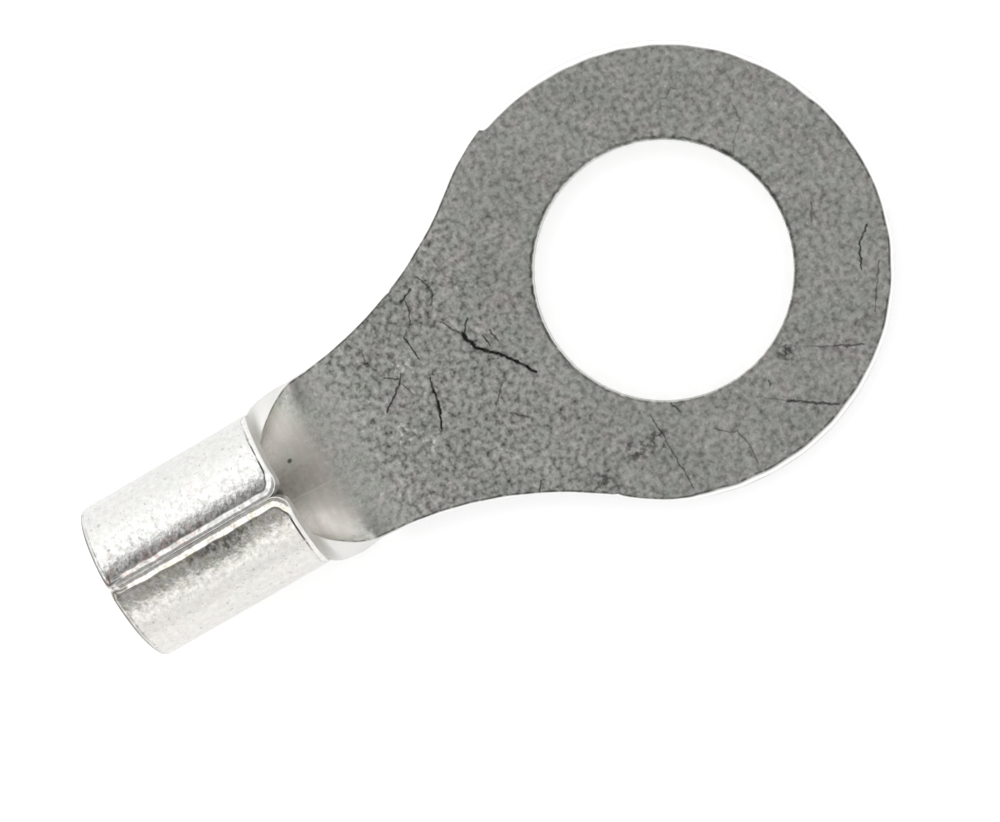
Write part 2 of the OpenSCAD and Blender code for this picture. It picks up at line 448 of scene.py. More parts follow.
def edge_rows(base, normal, top, bottom):
    """Rows of a cut edge from the upper face down to the lower one: corner, wall, corner."""
    high_in, high_down = corner_profile(*top)
    low_in, low_up = corner_profile(*bottom)
    high, low = SHEET - high_down[-1], low_up[-1]
    wall = high + (low - high) * np.array([0.25, 0.5, 0.75])[:, None]
    inset = np.concatenate([high_in, np.zeros_like(wall), low_in[::-1]])
    height = np.concatenate([SHEET - high_down, wall, low_up[::-1]])
    return base[None] + normal[None] * inset[..., None], height


def closed(array):
    """The list with its first entry added at its end."""
    return np.concatenate([array, array[:1]])


square = np.zeros(COUNT)         # no bevel on the upper corners
outer_rows = edge_rows(closed(outline), closed(inward), (closed(top_in), closed(top_down), closed(square)),
                       (closed(bottom_in), closed(bottom_up), closed(bevel)))
add_patch(*outer_rows, False)
same = np.ones(len(toward))      # the hole's corners are even all the way round
hole_rows = edge_rows(toward * HOLE_R, toward, (HOLE_TOP_R * same, HOLE_TOP_R * same, 0 * same),
                      (HOLE_BOTTOM_R * same, HOLE_BOTTOM_R * same, 0 * same))
add_patch(*hole_rows, True)
print("rows from face to face:", len(outer_rows[1]))

# %% [markdown]
# ## Weld the patches
#
# So far the patches are loose sheets that only touch. Blender could merge them by distance, but numpy does
# it faster: rows of numbers that are equal after rounding are one point. Then the mesh is tested. In a
# closed skin every edge is walked once in each direction, by the two faces that share it.


# %% Weld
def welded(patches):
    """Joins grids into one mesh: points that agree to a hundred-thousandth of a millimetre become one."""
    every, quads, base = [], [], 0
    for grid, flipped in patches:
        rows, columns = grid.shape[:2]
        index = base + np.arange(rows * columns).reshape(rows, columns)
        quad = np.stack([index[:-1, :-1], index[1:, :-1], index[1:, 1:], index[:-1, 1:]], axis=-1)
        quads.append(quad.reshape(-1, 4)[:, ::-1] if flipped else quad.reshape(-1, 4))
        every.append(grid.reshape(-1, 3))
        base += rows * columns
    every, quads = np.concatenate(every), np.concatenate(quads)
    _, first, inverse = np.unique(np.round(every, 5), axis=0, return_index=True, return_inverse=True)
    return every[first], inverse.reshape(-1)[quads]


flat, quads = welded(patches)
steps = np.stack([quads, np.roll(quads, -1, axis=1)], axis=-1).reshape(-1, 2)
there = steps[:, 0] * len(flat) + steps[:, 1]
and_back = steps[:, 1] * len(flat) + steps[:, 0]
print(len(flat), "points,", len(quads), "quads; edges with no partner:",
      int((~np.isin(there, and_back)).sum()), "; doubled:", len(there) - len(np.unique(there)))

# %% [markdown]
# ## Bend the sheet
#
# Rolling wraps the sheet round a circle without stretching its middle layer. The circle's radius is
# endless on the tongue, then it shrinks along the neck until it is the barrel's. At each x the sheet
# covers an angle equal to its width over that radius, and a point at depth h lies on its own circle.
# A Simple Deform modifier bends too, but only with one radius for the whole piece.

# %% Bend
NECK_ANGLE = neck_half(JOIN_X) / MIDDLE_R
HOLD = 0.12              # share of the neck in which the flat tongue still holds the sheet back
FLOOR_LAG = 0.45         # the sheet's middle is fully round this much further back than the wings
FLAT_CURVE = 1e-6        # below this curvature the sheet counts as flat


def turned(t):
    """Share of the full turn, t from 0 at the flat end to 1 at the barrel. It starts slowly, because the
    sheet still holds on to the flat tongue, and ends level: 1 - (1 - t^1.35)^1.15."""
    t = (np.hypot(np.clip(t, 0, 1), HOLD) - HOLD) / (np.hypot(1, HOLD) - HOLD)
    return 1 - (1 - np.clip(t, 0, 1) ** 1.35) ** 1.15


def bent(flat):
    """[x, q, h] laid round a circle that touches the floor. Angle = q over the middle layer's radius. The
    wings are fully round at their front edge, and the floor between them a little further back."""
    x, q, h = flat.T
    end = front_x(q) - FLOOR_LAG * (1 - eased((np.abs(q) - 2.2) / 1.2))
    angle = NECK_ANGLE * turned((BEND_START - x) / (BEND_START - end))
    curve = angle / neck_half(np.clip(x, JOIN_X, BEND_START))
    radius = 1 / np.maximum(curve, FLAT_CURVE)
    rolled = np.stack([x, (radius + SHEET / 2 - h) * np.sin(q / radius),
                       radius + SHEET / 2 - (radius + SHEET / 2 - h) * np.cos(q / radius)], axis=1)
    return np.where((curve < FLAT_CURVE)[:, None], flat, rolled)


print("the neck's sides end", round(float(np.degrees(NECK_ANGLE))), "degrees up from the floor's middle")

# %% [markdown]
# ## Unevenness
#
# Nothing on a part that was punched by the thousand is quite even. The lower wing has a flat spot beside
# the seam, and the sheet undulates by a few thousandths of a millimetre, which only shows because the
# metal mirrors the light. They are real height here and not a bump in the material, so that the outline
# and the finished mesh have them too.


# %% Flat spot and undulation
def waves(flat, count, shortest, amount, grow):
    """Sum of plane waves over the sheet with random directions, lengths and phases, times grow."""
    length = shortest * rng.uniform(1, 3, count)
    heading, phase = rng.uniform(0, 2 * np.pi, (2, count))
    distance = np.outer(flat[:, 0], np.cos(heading) / length)
    distance = distance + np.outer(flat[:, 1], np.sin(heading) / length)
    return amount * grow * np.sin(2 * np.pi * distance + phase).sum(axis=1) / np.sqrt(count / 2)


SPOT_X, SPOT_FROM_SEAM = -16.5, 0.1              # middle of the flat spot
SPOT_LONG, SPOT_WIDE, SPOT_DEPTH = 1.15, 0.8, 0.10
WAVE_COUNT, SHORTEST_WAVE, WAVE_HEIGHT = 24, 0.9, 0.0035
CLEARANCE = 0.004                                # keeps the waves inside the frame's box

solid = bent(flat)
rolled = eased((-12.2 - flat[:, 0]) / 1.8)       # 0 on the tongue, 1 in the barrel
outward = solid - [0, 0, BARREL_R]               # away from the barrel's axis
outward[:, 0] = 0
outward /= np.maximum(np.linalg.norm(outward, axis=1), 1e-9)[:, None]
flat_spot = SPOT_DEPTH * np.exp(-((flat[:, 0] - SPOT_X) / SPOT_LONG) ** 2
                                - ((flat[:, 1] + WING_Q - SPOT_FROM_SEAM) / SPOT_WIDE) ** 2)
sink = flat_spot + waves(flat, WAVE_COUNT, SHORTEST_WAVE, WAVE_HEIGHT, rolled) + CLEARANCE * rolled
solid = solid - outward * sink[:, None]
solid[:, 2] = np.maximum(solid[:, 2], 0)
print("bent box in mm:", solid.min(axis=0).round(3), solid.max(axis=0).round(3))

# %% [markdown]
# ## Into Blender
#
# A mesh in Blender is three lists: the points, the corners of all faces in a row, and where each face
# starts in that row. foreach_set fills a list from a numpy array in one go, which is far quicker than
# making faces one at a time. The piece then gets the body that it rides on, and the frame's own mesh of
# it is hidden.


# %% Make the mesh
def make_mesh(name, vertices, faces):
    """A mesh object at the origin from points in millimetres and quads."""
    mesh = bpy.data.meshes.new(name)
    mesh.vertices.add(len(vertices))
    mesh.vertices.foreach_set("co", (vertices * MM).ravel())
    mesh.loops.add(faces.size)
    mesh.loops.foreach_set("vertex_index", faces.ravel().astype(np.int32))
    mesh.polygons.add(len(faces))
    mesh.polygons.foreach_set("loop_start", np.arange(0, faces.size, faces.shape[1], dtype=np.int32))
    mesh.polygons.foreach_set("use_smooth", np.ones(len(faces), dtype=bool))
    mesh.update(calc_edges=True)
    mesh.validate()
    piece = bpy.data.objects.new(name, mesh)
    bpy.context.scene.collection.objects.link(piece)
    return piece


terminal = make_mesh("terminal_sheet", solid, quads)
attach(terminal, "root")
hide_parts("ring_terminal")

# %% Measure it
import bmesh
check = bmesh.new()
check.from_mesh(terminal.data)
print("volume in mm3:", round(check.calc_volume(signed=True) / MM ** 3, 2),
      "open edges:", sum(not e.is_manifold for e in check.edges))
check.free()

# %% [markdown]
# ## Coordinates that stay on the sheet
#
# The plate, its stains and its scratches belong to the sheet and went round the bend with it. So every
# vertex remembers where it was in the flat blank, and how far it was from the cut edge. The material
# reads both, and one number per millimetre means the same thing on the tongue and on the barrel.


# %% Sheet coordinates and distance from the cut edge
def edge_fields(flat):
    """Distance from the outline, which is the offset from the nearest outline point along its normal, and
    the width of the rounded corner at that point. It is worked out in 40 parts to spare the memory."""
    distance, corner = np.empty(len(flat)), np.empty(len(flat))
    for part in np.array_split(np.arange(len(flat)), 40):
        away = flat[part, None, :2] - outline[None]
        nearest = (away ** 2).sum(axis=2).argmin(axis=1)
        distance[part] = (away[np.arange(len(part)), nearest] * inward[nearest]).sum(axis=1)
        corner[part] = np.where(flat[part, 2] > SHEET / 2, top_in[nearest], bottom_in[nearest])
    return distance, corner


def keep(name, kind, values):
    """Stores one value for each vertex as an attribute, which the material reads by its name."""
    field = terminal.data.attributes.new(name, kind, "POINT")
    field.data.foreach_set("vector" if kind == "FLOAT_VECTOR" else "value", values.astype(np.float32).ravel())


from_edge, corner_width = edge_fields(flat)
keep("sheet", "FLOAT_VECTOR", flat)
keep("shoulder", "FLOAT", from_edge - corner_width)
print("distance from the cut edge reaches", from_edge.max().round(2), "mm")

# %% [markdown]
# ## Tin plate
#
# The plate is a metal, so its colour is what it reflects. Three things give it its look. Fine bumps, a
# tenth of a millimetre apart, break the reflection up. The rolling mill's grain makes the flat tongue
# duller and speckled, while the tools that formed the neck and the barrel ironed the grain out of them.
# And handling left scratches. A band beside the seam is darker, and so is a brownish strip in the neck;
# both are partly painted shade.
# A few helpers keep the node trees readable: each makes one node and returns its output.


# %% Node helpers
class Graph:
    """Makes nodes in one tree. Numbers are set on sockets, and outputs are linked to them."""

    def __init__(self, tree):
        self.tree = tree

    def make(self, kind, settings=None, **sockets):
        """A node with its settings, and with a value or a link on each socket that is named."""
        node = self.tree.nodes.new(kind)
        for key, value in (settings or {}).items():
            setattr(node, key, value)
        for key, value in sockets.items():
            self.put(node, key, value)
        return node

    def put(self, node, key, value):
        """Sets or links one socket, found by its name or its number."""
        socket = node.inputs[key]
        if isinstance(value, bpy.types.NodeSocket):
            self.tree.links.new(value, socket)
        else:
            socket.default_value = value

    def math(self, operation, *values, clamp=False):
        """One sum or product. The clamp holds it between 0 and 1, with nodes of its own."""
        node = self.make("ShaderNodeMath", {"operation": operation})
        for i, value in enumerate(values):
            self.put(node, i, value)
        if clamp:
            return self.math("MINIMUM", self.math("MAXIMUM", node.outputs[0], 0.0), 1.0)
        return node.outputs[0]

    def vector(self, operation, *values):
        """The same for vectors, given as sockets or as three numbers. Lengths and dot products come out as
        one number."""
        node = self.make("ShaderNodeVectorMath", {"operation": operation})
        for i, value in enumerate(values):
            self.put(node, i, value)
        return node.outputs["Value" if operation in ("DOT_PRODUCT", "DISTANCE", "LENGTH") else "Vector"]

    def scaled(self, colour, factor):
        """A colour or a vector times a number."""
        node = self.make("ShaderNodeVectorMath", {"operation": "SCALE"}, Vector=colour, Scale=factor)
        return node.outputs[0]

    def add(self, a, b):
        """a + b"""
        return self.math("ADD", a, b)

    def mul(self, a, b):
        """a times b"""
        return self.math("MULTIPLY", a, b)

    def rest(self, mask):
        """Where the mask isn't: 1 - mask."""
        return self.math("SUBTRACT", 1.0, mask)

    def step(self, value, low, high, to_low=0.0, to_high=1.0):
        """Smooth step from to_low at low to to_high at high. low may be the greater of the two."""
        node = self.make("ShaderNodeMapRange", {"interpolation_type": "SMOOTHSTEP"}, Value=value)
        if low > high:
            low, high, to_low, to_high = high, low, to_high, to_low
        for key, number in (("From Min", low), ("From Max", high), ("To Min", to_low), ("To Max", to_high)):
            node.inputs[key].default_value = number
        return node.outputs[0]

    def noise(self, vector, scale, detail=2.0, rough=0.5, output="Fac"):
        """Soft random patches from 0 to 1, scale of them to a millimetre."""
        return self.make("ShaderNodeTexNoise", {"noise_dimensions": "2D"}, Vector=vector, Scale=scale,
                         Detail=detail, Roughness=rough).outputs[output]

    def centred(self, vector, scale, detail=2.0, rough=0.5, gain=1.0):
        """Noise about zero, times gain."""
        return self.math("MULTIPLY_ADD", self.noise(vector, scale, detail, rough), gain, -gain / 2)

    def bell(self, value, middle, half):
        """1 where value is at the middle, falling straight to 0 at half to each side."""
        away = self.math("ABSOLUTE", self.add(value, -middle))
        return self.math("MULTIPLY_ADD", away, -1 / half, 1.0, clamp=True)

    def blend(self, share, a, b):
        """Number a where share is 0 and number b where it is 1."""
        node = self.make("ShaderNodeMix", {"data_type": "FLOAT"})
        for index, value in ((0, share), (2, a), (3, b)):
            self.put(node, index, value)
        return node.outputs[0]

    def mix(self, share, a, b):
        """Colour a where share is 0 and colour b where it is 1."""
        node = self.make("ShaderNodeMix", {"data_type": "RGBA"})
        for index, value in ((0, share), (6, a), (7, b)):
            self.put(node, index, (*value, 1.0) if isinstance(value, tuple) else value)
        return node.outputs[2]


print("node helpers:", ", ".join(name for name in vars(Graph) if not name.startswith("_")))

# %% [markdown]
# ## A scratch as a node group
#
# A scratch is a stroke from one point of the sheet to another. It could be painted on an image, but an
# image blurs from close up. A node group measures the distance from the stroke instead, which stays sharp
# at any size, and all strokes are joined by taking the darkest at each place.


# %% Stroke group
def stroke_group():
    """Distance from a segment: t = clamp((p - a).(b - a) / |b - a|^2), distance = |p - a - t (b - a)|.
    The mark is full up to 0.6 of the half width, and fades out at 1.6 of it."""
    tree = bpy.data.node_groups.new("stroke", "ShaderNodeTree")
    for name, kind in (("Place", "Vector"), ("Start", "Vector"), ("End", "Vector"),
                       ("Width", "Float"), ("Depth", "Float")):
        tree.interface.new_socket(name, in_out="INPUT", socket_type="NodeSocket" + kind)
    tree.interface.new_socket("Mark", in_out="OUTPUT", socket_type="NodeSocketFloat")
    g = Graph(tree)
    given = g.make("NodeGroupInput").outputs
    from_start = g.vector("SUBTRACT", given["Place"], given["Start"])
    whole = g.vector("SUBTRACT", given["End"], given["Start"])
    share = g.math("DIVIDE", g.vector("DOT_PRODUCT", from_start, whole),
                   g.vector("DOT_PRODUCT", whole, whole), clamp=True)
    away = g.vector("DISTANCE", from_start, g.scaled(whole, share))
    mark = g.math("SUBTRACT", 1.6, g.math("DIVIDE", away, given["Width"]), clamp=True)
    g.make("NodeGroupOutput", Mark=g.mul(mark, given["Depth"]))
    return tree


stroke = stroke_group()
print("stroke group:", len(stroke.nodes), "nodes")

# %% Strokes on the tongue
# Chains of points in mm on the sheet, each with its half width in mm and its darkness
STROKES = [
    ([(-7.16, 2.20), (-6.72, 1.45)], 0.026, 0.74),
    ([(-6.34, 1.82), (-6.66, 1.48)], 0.030, 0.85),
    ([(-6.74, 1.52), (-6.57, 0.89), (-6.34, 0.63)], 0.063, 1.00),
    ([(-6.34, 0.63), (-5.89, 0.18), (-5.59, -0.27), (-5.26, -0.80)], 0.048, 1.00),
    ([(-8.36, 0.78), (-8.47, 0.40)], 0.028, 0.85),
    ([(-8.47, 0.40), (-8.51, 0.10), (-8.66, -0.42)], 0.050, 1.00),
    ([(-8.66, -0.42), (-8.87, -0.87)], 0.033, 0.97),
    ([(-8.44, 2.35), (-8.36, 1.49)], 0.026, 0.85),
    ([(-7.95, 3.39), (-7.46, 3.58)], 0.034, 0.85),
    ([(-7.80, 3.39), (-7.84, 3.02), (-8.06, 2.61)], 0.023, 0.74),
    ([(-7.09, 3.84), (-6.90, 3.32), (-6.90, 3.06), (-7.16, 2.80)], 0.030, 0.72),
    ([(-9.67, 1.52), (-9.26, 1.22)], 0.026, 0.74),
    ([(-10.12, 0.51), (-9.33, 1.11), (-9.11, 1.37)], 0.030, 0.85),
    ([(-9.26, 1.07), (-9.11, 0.55)], 0.023, 0.62),
    ([(-6.19, 1.11), (-6.12, 0.70)], 0.023, 0.85),
    ([(-5.89, 1.15), (-5.82, 0.70)], 0.023, 0.74),
    ([(-6.94, -1.10), (-6.41, -0.57)], 0.030, 0.62),
    ([(-6.64, -1.55), (-6.19, -1.96)], 0.030, 0.62),
    ([(6.45, -2.07), (5.95, -2.41), (5.57, -3.22)], 0.030, 0.85),
    ([(6.20, -3.25), (5.27, -4.61)], 0.023, 0.51),
    ([(2.81, -4.52), (3.6, -4.95)], 0.024, 0.45),
    ([(3.6, -4.95), (4.42, -5.37)], 0.028, 0.70),
    ([(0.55, -5.10), (1.35, -5.70)], 0.026, 0.40),
    ([(1.35, -5.70), (2.73, -6.64)], 0.036, 0.78),
    ([(-2.73, -3.93), (-2.69, -6.64)], 0.026, 0.60),
    ([(-1.15, -5.3), (-0.80, -5.65), (-0.55, -5.75), (-0.42, -6.35), (-0.50, -6.95)], 0.026, 0.50),
    ([(-1.95, -3.9), (-1.85, -4.3)], 0.028, 0.70),
    ([(-6.9, -3.95), (-7.25, -4.4)], 0.026, 0.70),
    ([(1.15, -4.80), (1.15, -5.0)], 0.026, 0.70),
    ([(4.65, 3.75), (4.58, 2.9), (4.05, 2.45), (3.85, 2.1)], 0.022, 0.36),
    ([(3.35, 4.85), (3.15, 5.0), (2.9, 4.75), (2.75, 4.85)], 0.026, 0.42),
    ([(5.25, -0.55), (4.95, -1.05)], 0.026, 0.55),
    ([(-6.35, 4.1), (-6.25, 3.35), (-5.9, 2.95), (-5.2, 2.55)], 0.026, 0.30),
    ([(-9.85, 2.65), (-10.0, 2.2), (-9.75, 1.85)], 0.026, 0.50),
    ([(-8.7, 3.05), (-8.45, 2.85)], 0.026, 0.50),
]
print("strokes:", sum(len(chain) - 1 for chain, *_ in STROKES), "in", len(STROKES), "chains")

# %% [markdown]
# ## Zones of the sheet
#
# The same plate looks different where the tools touched it. Masks say where: numbers from 0 to 1 made from
# the sheet's own coordinates, so they end where the real zones end, in any view. Painting weights by hand
# would do the same, but it could not follow the cut edge so closely.

# %% Zones of the sheet
tin = bpy.data.materials.new("tin_plate")
tin.use_nodes = True
g = Graph(tin.node_tree)
sheet = g.make("ShaderNodeAttribute", {"attribute_name": "sheet"}).outputs["Vector"]
shoulder = g.make("ShaderNodeAttribute", {"attribute_name": "shoulder"}).outputs["Fac"]
x, q, h = g.make("ShaderNodeSeparateXYZ", Vector=sheet).outputs
side = g.math("ABSOLUTE", q)
seam_at = g.math("SUBTRACT", float(WING_Q), side)        # distance from the seam, in mm
barrel = g.step(x, -13.8, -14.05)
upper = g.step(h, 0.7, 0.95)
under = g.step(h, 0.3, 0.05)
face = g.mul(upper, g.step(shoulder, -0.08, 0.02))       # the upper face without its rounded corner
outer = g.mul(under, barrel)                             # the outside of the barrel
faces = g.mul(g.math("MAXIMUM", upper, under), g.step(shoulder, -0.06, 0.02))
cut = g.rest(g.math("MAXIMUM", faces, outer))            # the sheared edge

# The tools ironed the neck up to a ragged line, which lies further back at the sides.
ironed = g.add(g.add(x, g.centred(sheet, 1.7, 3.0, 0.6, 1.2)), g.step(side, 1.7, 2.9, 0.0, 0.45))
ironed = g.step(ironed, -12.2, -13.15)
print("zones:", len(tin.node_tree.nodes), "nodes")

# %% [markdown]
# ## Grain of the tongue, and the smooth metal
#
# Two kinds of surface are made as one number each, the tone, which the colour is later multiplied by.
# The tongue's tone is fine noise with dark pits and short creases, stronger beside the neck than on the
# ring, and a few bright glints, which are painted highlights. The formed metal's tone is nearly even:
# pulled lines across the neck, and a faint mottle on the barrel. Layers of noise at several sizes look more
# like grain than one noise does, because the eye finds the repeat in a single size at once.

# %% Tone of the tongue
worm = g.noise(sheet, 3.3, 3.0, 0.6)
grain = g.add(g.centred(sheet, 5.1, 1.6, 0.55, 1.35), g.math("MULTIPLY_ADD", worm, 0.6, -0.30))
grain = g.mul(grain, g.mul(g.step(x, -3.0, -7.0, 1.0, 1.5), g.step(x, -12.0, -10.6, 0.5, 1.0)))
grain = g.add(grain, g.centred(sheet, 0.55, 2.0, 0.5, 0.3))
grain = g.mul(grain, g.step(faces, 0.0, 1.0, 0.15, 1.0))
pitted = g.step(g.noise(sheet, 0.9), 0.45, 0.62, 0.25, 0.7)
pits = g.mul(g.step(g.noise(sheet, 5.1, 2.0, 0.5), 0.62, 0.70), pitted)
creased = g.step(g.noise(sheet, 0.75), 0.52, 0.62, 0.0, 0.7)
crease = g.mul(g.bell(g.noise(sheet, 2.6, 2.0, 0.6), 0.5, 0.016), creased)
pits = g.mul(g.mul(g.math("MAXIMUM", pits, crease), face), g.step(x, -2.0, -6.0, 0.3, 0.5))
# glints: painted highlights, small bright specks added to the tongue's tone
glints = g.step(g.noise(sheet, 5.7, 1.0, 0.5), 0.66, 0.80, 0.0, 0.25)
flat_tone = g.math("SUBTRACT", g.add(g.add(0.95, grain), glints), pits)
flat_tone = g.mul(flat_tone, g.step(x, -9.6, -12.2, 0.77, 1.05))
curled = g.mul(g.step(side, 1.5, 2.6), g.step(x, -11.6, -12.6))      # the sides where they start to rise
flat_tone = g.mul(flat_tone, g.math("MULTIPLY_ADD", curled, -0.38, 1.0))
print("tongue:", len(tin.node_tree.nodes), "nodes so far")

# %% Tone of the formed metal
pulled = g.centred(g.vector("MULTIPLY", sheet, (3.0, 0.35, 0.0)), 1.0, 2.0, 0.6, 0.35)
pulled = g.mul(pulled, g.rest(barrel))
mottle = g.mul(g.centred(sheet, 5.0, 3.0, 0.6, 0.35), g.step(seam_at, 1.5, 0.9, 1.0, 3.3))
specks = g.step(g.noise(sheet, 6.6, 2.0, 0.6), 0.64, 0.76, 0.0, -0.30)
smooth_tone = g.add(g.add(1.0, pulled), g.mul(g.add(mottle, specks), barrel))
at_joint = g.mul(g.step(x, -13.45, -13.85, 1.0, 0.92), g.step(x, -12.5, -13.0, 0.90, 1.0))
smooth_tone = g.mul(smooth_tone, g.math("MAXIMUM", at_joint, g.rest(face)))
tone = g.blend(ironed, flat_tone, smooth_tone)
print("formed metal:", len(tin.node_tree.nodes), "nodes so far")

# %% [markdown]
# ## Scratches on the tongue
#
# Straight strokes look drawn with a ruler. So the place that is looked up wanders by a few hundredths of a
# millimetre, in the same soft noise for all strokes, which makes them bend and thicken as real ones do.

# %% Lay the strokes
wander = g.vector("MULTIPLY_ADD", g.noise(sheet, 5.0, 3.0, output="Color"), (0.15, 0.15, 0), (-0.1, -0.1, 0))
place = g.vector("MULTIPLY_ADD", sheet, (1, 1, 0), wander)
scratch = 0.0
for chain, width, depth in STROKES:
    for begin, end in zip(chain[:-1], chain[1:]):
        mark = g.make("ShaderNodeGroup", {"node_tree": stroke}, Place=place, Start=(*begin, 0),
                      End=(*end, 0), Width=width, Depth=depth)
        scratch = g.math("MAXIMUM", scratch, mark.outputs[0])
scratch = g.mul(g.mul(scratch, face), g.step(worm, 0.3, 0.5, 0.8, 1.0))
print("scratches:", len(tin.node_tree.nodes), "nodes so far")

# %% [markdown]
# ## Darkening beside the seam, and dark lines
#
# The plate is darker in a band beside the seam, broken up by noise. On the lower wing, over its flat spot,
# the band is wider and is painted shade, with dark specks in it. Thin dark lines follow every rounded edge,
# where the rounding meets the face. Both could come from Ambient Occlusion nodes, but those slow a render
# down, and they find corners only. The distance from the seam and from the cut edge is already there, so it
# is used, broken up by noise.

# %% Darkening beside the seam
lower_wing = g.step(q, 0.2, -0.2)
reach = g.add(g.step(q, 0.2, -0.2, 0.75, 0.5), g.centred(sheet, 0.7, 2.0, 0.5, 1.5))
reach = g.add(reach, g.mul(g.bell(x, -16.5, 1.6), g.step(q, 0.2, -0.2, 0.0, 1.15)))
near = g.math("SUBTRACT", 1.0, g.math("DIVIDE", seam_at, reach), clamp=True)
# a darker band beside the seam, and painted shade over the lower wing's flat spot
seam_darkening = g.step(g.math("MULTIPLY_ADD", near, 0.55, g.noise(sheet, 5.5, 4.0, 0.7)), 0.74, 1.04)
seam_darkening = g.mul(seam_darkening, g.mul(outer, g.step(shoulder, 0.0, 0.04)))
# painted shade in dark specks over the lower wing's flat spot
flat_spot_specks = g.mul(lower_wing, g.mul(g.bell(x, -16.2, 1.7), g.step(near, 0.25, 0.6)))
flat_spot_specks = g.mul(g.mul(flat_spot_specks, g.step(g.noise(sheet, 3.4, 3.0, 0.65), 0.47, 0.62)), seam_darkening)
# painted shade on the walls in the mouth of the seam, at the barrel's front
seam_mouth_shade = g.mul(g.step(seam_at, 0.34, 0.14), g.mul(g.step(h, 0.13, 0.24), g.bell(x, -13.9, 0.5)))
print("dirt:", len(tin.node_tree.nodes), "nodes so far")

# %% Dark lines along the edges
broken = g.noise(sheet, 2.9, 3.0, 0.6)
line = g.mul(g.bell(shoulder, 0.02, 0.055), g.math("SUBTRACT", upper, barrel, clamp=True))
line = g.mul(line, g.step(g.math("MULTIPLY_ADD", x, 0.35, q), 4.2, 6.0, 1.0, 0.2))
line = g.mul(line, g.step(broken, 0.36, 0.55, 0.15, 1.0))

# Round the hole the line is darkest at the two ends that lie along the terminal.
ends = g.math("MULTIPLY_ADD", g.math("ABSOLUTE", x), 0.22, g.math("MULTIPLY_ADD", q, 0.05, -0.1), clamp=True)
hole_line = g.mul(g.bell(g.vector("LENGTH", place), HOLE_R + 0.06, 0.09), g.add(ends, 0.3))
hole_line = g.mul(hole_line, g.step(broken, 0.32, 0.52, 0.45, 1.0))
line = g.math("MAXIMUM", line, g.mul(hole_line, g.step(h, 0.92, 0.985)))

# On the barrel it follows the front edge and, a little inside the rounding, the back edge.
rim_line = g.mul(g.mul(g.bell(shoulder, 0.02, 0.045), outer), g.step(broken, 0.38, 0.54, 0.4, 1.0))
front_edge = g.mul(g.step(x, -14.9, -14.5, 0.8, 1.9), g.step(seam_at, 2.4, 1.0, 0.2, 1.0))
front_edge = g.mul(front_edge, g.step(seam_at, 0.3, 0.8, 0.3, 1.0))
back_edge = g.mul(g.mul(g.bell(shoulder, -0.10, 0.09), outer), g.step(x, -19.6, -19.75, 0.0, 1.2))
line = g.math("MAXIMUM", line, g.math("MAXIMUM", g.mul(rim_line, front_edge), back_edge))
print("dark lines:", len(tin.node_tree.nodes), "nodes so far")

# %% [markdown]
# ## Single marks, and the light that is left
#
# A few marks have a place of their own: a dark dot in the neck, grime on the ring, pale flecks on the
# tongue, which are painted highlights, and the shadow in the mouth of the seam. Each is a soft disc with
# noise in it. Then every mask takes its share of the light, and the shares are multiplied, so overlapping
# marks never go below black.

# %% Marks with a place of their own
level = g.vector("MULTIPLY", sheet, (1, 1, 0))           # the place on the sheet without its height


def spots(middles, core, edge):
    """1 within core of any of the middles, in mm, and 0 beyond edge."""
    mask = 0.0
    for middle in middles:
        mask = g.math("MAXIMUM", mask, g.step(g.vector("DISTANCE", level, (*middle, 0)), edge, core))
    return mask


dot = g.mul(spots([(-13.70, 0.86)], 0.05, 0.11), upper)
in_mouth = g.mul(spots([(-14.62, 0.02)], 0.10, 0.28), upper)
grime = g.mul(spots([(-3.7, -4.6), (-2.9, -4.7), (-5.1, -5.1), (2.2, -4.3)], 0.1, 0.7),
              g.step(g.noise(sheet, 4.3, 3.0, 0.6), 0.44, 0.62))
# painted highlights: pale flecks that brighten the tongue in three places
highlight_flecks = g.mul(spots([(-9.95, -0.4), (-9.3, -1.0), (-9.05, 1.45)], 0.1, 0.7),
               g.step(g.noise(sheet, 5.9, 2.0, 0.6), 0.52, 0.68))
print("marks:", len(tin.node_tree.nodes), "nodes so far")


# %% The light that is left
def keeps(mask, amount):
    """What a mask leaves of the light: 1 - amount * mask. A negative amount makes it brighter."""
    return g.math("MULTIPLY_ADD", mask, -amount, 1.0)


# the shares of all masks together: real marks, painted shade and painted highlights
marks_and_painted_light = g.mul(g.mul(keeps(scratch, 0.95), keeps(seam_darkening, 0.60)), g.mul(keeps(line, 0.72), keeps(dot, 0.75)))
marks_and_painted_light = g.mul(marks_and_painted_light, g.mul(keeps(g.mul(grime, face), 0.70), keeps(seam_mouth_shade, 0.8)))
marks_and_painted_light = g.mul(marks_and_painted_light, keeps(g.mul(highlight_flecks, face), -0.65))
marks_and_painted_light = g.mul(marks_and_painted_light, g.mul(keeps(flat_spot_specks, 0.5), keeps(in_mouth, 0.6)))
print("shares of light:", len(tin.node_tree.nodes), "nodes so far")

# %% [markdown]
# ## Colour
#
# Plain tin is a warm grey, lighter on the barrel, partly for its polish and partly as a painted reflection,
# and one side of the barrel is painted a little warmer and darker as painted shade. The ironed neck is
# browner, with a darker strip on the flat floor in its middle, which is painted shade with a real brown
# tinge, and the dirt has left a reddish tinge on one side of the seam and a yellowish one on the other.
# Faint green and pink patches lie all over the sheet. They are so weak that one doesn't see a colour, but
# without them the metal looks like paint. The cut edge shows fresh, paler metal.

# %% Colour of the plate
dull = g.mul(ironed, face)
# the flat floor in the neck's middle is painted darker as painted shade, with a real brown tinge
floor_shade_and_tint = g.mul(g.mul(g.step(side, 0.55, 0.47), g.step(x, -12.3, -13.6)), dull)
